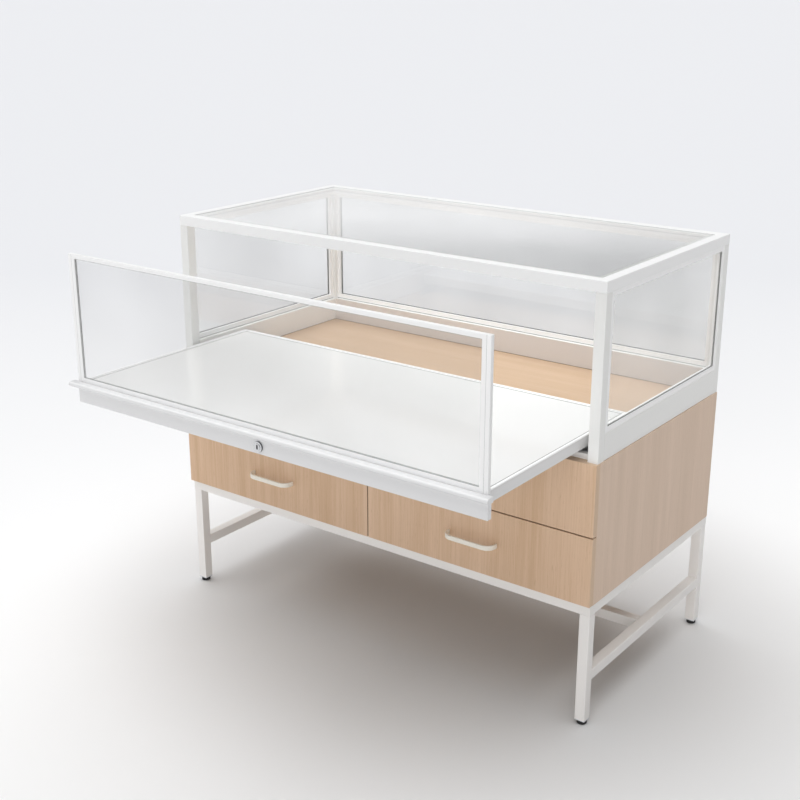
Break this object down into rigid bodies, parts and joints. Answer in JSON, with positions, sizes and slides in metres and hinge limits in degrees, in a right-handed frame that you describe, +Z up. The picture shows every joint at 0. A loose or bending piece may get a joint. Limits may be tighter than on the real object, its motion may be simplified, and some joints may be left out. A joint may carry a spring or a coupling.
{
  "type": "glass display counter",
  "caption": "Shop counter on a white steel stand: wood cabinet with drawers under a glass case whose white deck and framed front pane pull out on slides and lock.",
  "frame": {"origin": "on the floor, at the middle of the box round the counter with the pull-out as the picture shows it", "axes": "+Z up, -Y to the front where the pull-out and the drawers open, +X to the right seen from the front"},
  "size_m": [1.2, 0.992, 1.007],
  "materials": {
    "powder_white": "satin white powder coat",
    "insert_plastic": "matt light grey plastic",
    "foot_black": "matt black plastic pad",
    "oak_laminate": "matt light oak laminate",
    "drawer_board": "matt white faced board",
    "handle_paint": "satin cream white paint",
    "zinc_steel": "zinc plated steel",
    "clear_glass": "clear float glass",
    "white_lacquer": "gloss white lacquered board",
    "lock_chrome": "bright plated lock"
  },
  "bodies": {
    "counter": {"leg_front_left": "powder_white", "leg_front_right": "powder_white", "leg_rear_left": "powder_white", "leg_rear_right": "powder_white", "base_rail_front": "powder_white", "base_rail_rear": "powder_white", "base_rail_left": "powder_white", "base_rail_right": "powder_white", "stretcher_left": "powder_white", "stretcher_right": "powder_white", "stretcher_long": "powder_white", "post_front_left": "powder_white", "post_front_right": "powder_white", "post_rear_left": "powder_white", "post_rear_right": "powder_white", "top_rail_front": "powder_white", "top_rail_rear": "powder_white", "top_rail_left": "powder_white", "top_rail_right": "powder_white", "skirt_left": "powder_white", "skirt_right": "powder_white", "skirt_rear": "powder_white", "case_sill": "powder_white", "top_glass_ledge": "powder_white", "glazing_channels": "powder_white", "foot_inserts": "insert_plastic", "cabinet_bottom": "oak_laminate", "cabinet_side_left": "oak_laminate", "cabinet_side_right": "oak_laminate", "cabinet_back": "oak_laminate", "cabinet_divider": "oak_laminate", "cabinet_top": "oak_laminate", "upper_fascia": "oak_laminate", "cabinet_runners": "zinc_steel", "display_slide_outers": "zinc_steel", "glass_left": "clear_glass", "glass_right": "clear_glass", "glass_rear": "clear_glass", "top_glass": "clear_glass"},
    "display": {"display_deck": "white_lacquer", "display_fascia": "white_lacquer", "display_nose": "white_lacquer", "display_frame": "powder_white", "display_glass": "clear_glass", "lock_barrel": "lock_chrome", "display_slide_inners": "zinc_steel"},
    "slide_middles": {"display_slide_middles": "zinc_steel"},
    "lock_cam": {"lock_plug": "lock_chrome"},
    "drawer_left": {"drawer_left_front": "oak_laminate", "drawer_left_box": "drawer_board", "drawer_left_handle": "handle_paint", "drawer_left_runners": "zinc_steel"},
    "drawer_right": {"drawer_right_front": "oak_laminate", "drawer_right_box": "drawer_board", "drawer_right_handle": "handle_paint", "drawer_right_runners": "zinc_steel"},
    "foot_front_left": {"foot_front_left": "foot_black"},
    "foot_rear_left": {"foot_rear_left": "foot_black"},
    "foot_front_right": {"foot_front_right": "foot_black"},
    "foot_rear_right": {"foot_rear_right": "foot_black"}
  },
  "joints": [
    {"name": "display_slide", "type": "slide", "parent": "counter", "child": "display", "axis": [0, -1, 0], "range_m": [-0.374, 0.075]},
    {"name": "display_middle_slide", "type": "slide", "parent": "counter", "child": "slide_middles", "axis": [0, -1, 0], "range_m": [-0.187, 0.0375]},
    {"name": "lock_turn", "type": "hinge", "parent": "display", "child": "lock_cam", "pos_m": [0, -0.464, 0.64], "axis": [0, 1, 0], "range_deg": [0, 90]},
    {"name": "drawer_left_slide", "type": "slide", "parent": "counter", "child": "drawer_left", "axis": [0, -1, 0], "range_m": [0, 0.36]},
    {"name": "drawer_right_slide", "type": "slide", "parent": "counter", "child": "drawer_right", "axis": [0, -1, 0], "range_m": [0, 0.36]},
    {"name": "foot_front_left_screw", "type": "slide", "parent": "counter", "child": "foot_front_left", "axis": [0, 0, -1], "range_m": [0, 0.012]},
    {"name": "foot_rear_left_screw", "type": "slide", "parent": "counter", "child": "foot_rear_left", "axis": [0, 0, -1], "range_m": [0, 0.012]},
    {"name": "foot_front_right_screw", "type": "slide", "parent": "counter", "child": "foot_front_right", "axis": [0, 0, -1], "range_m": [0, 0.012]},
    {"name": "foot_rear_right_screw", "type": "slide", "parent": "counter", "child": "foot_rear_right", "axis": [0, 0, -1], "range_m": [0, 0.012]}
  ],
  "couplings": [
    {"joint": "display_middle_slide", "follows": "display_slide", "ratio": 0.5}
  ]
}
